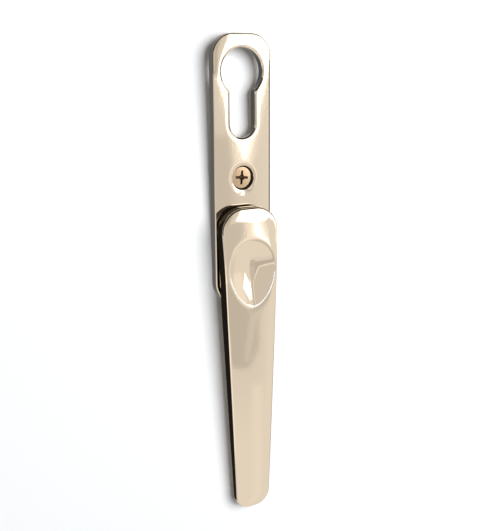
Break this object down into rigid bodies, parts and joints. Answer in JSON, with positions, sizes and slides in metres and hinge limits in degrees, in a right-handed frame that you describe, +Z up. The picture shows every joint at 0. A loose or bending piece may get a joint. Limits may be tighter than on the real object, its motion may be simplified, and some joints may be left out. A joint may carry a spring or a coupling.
{
  "type": "window lever handle",
  "caption": "Slim straight lever on a narrow backplate with a euro cylinder cut-out above it; turns a square spindle to work a window or patio door lock.",
  "frame": {"origin": "on the spindle axis, in the plane of the backplate's back face", "axes": "+Y along the spindle into the window or door leaf, so the hand is on the -Y side; +Z up the backplate towards the cylinder cut-out; +X to the right as the user faces the handle"},
  "size_m": [0.0254, 0.0257, 0.1944],
  "materials": {
    "gold_plate": "mirror-polished pale gold plating on a zinc casting",
    "brass_screw": "bright brass-plated steel, slightly darker than the plate",
    "zinc_steel": "zinc-plated mild steel",
    "steel": "oiled spring steel",
    "nylon": "natural nylon"
  },
  "bodies": {
    "plate": {"backplate": "gold_plate", "pivot_bush": "nylon", "click_spring_left": "steel", "click_spring_right": "steel", "spring_cover": "zinc_steel", "wave_washer": "steel", "fixing_screw_upper": "brass_screw", "fixing_screw_lower": "brass_screw"},
    "lever": {"lever": "gold_plate", "spindle": "zinc_steel", "spindle_pin": "steel", "thrust_washer": "nylon", "keeper_washer": "zinc_steel"}
  },
  "joints": [
    {"name": "lever_turn", "type": "hinge", "parent": "plate", "child": "lever", "pos_m": [0, 0, 0], "axis": [0, 1, 0], "range_deg": [-90, 90], "deforming": ["click_spring_left", "click_spring_right"]}
  ]
}
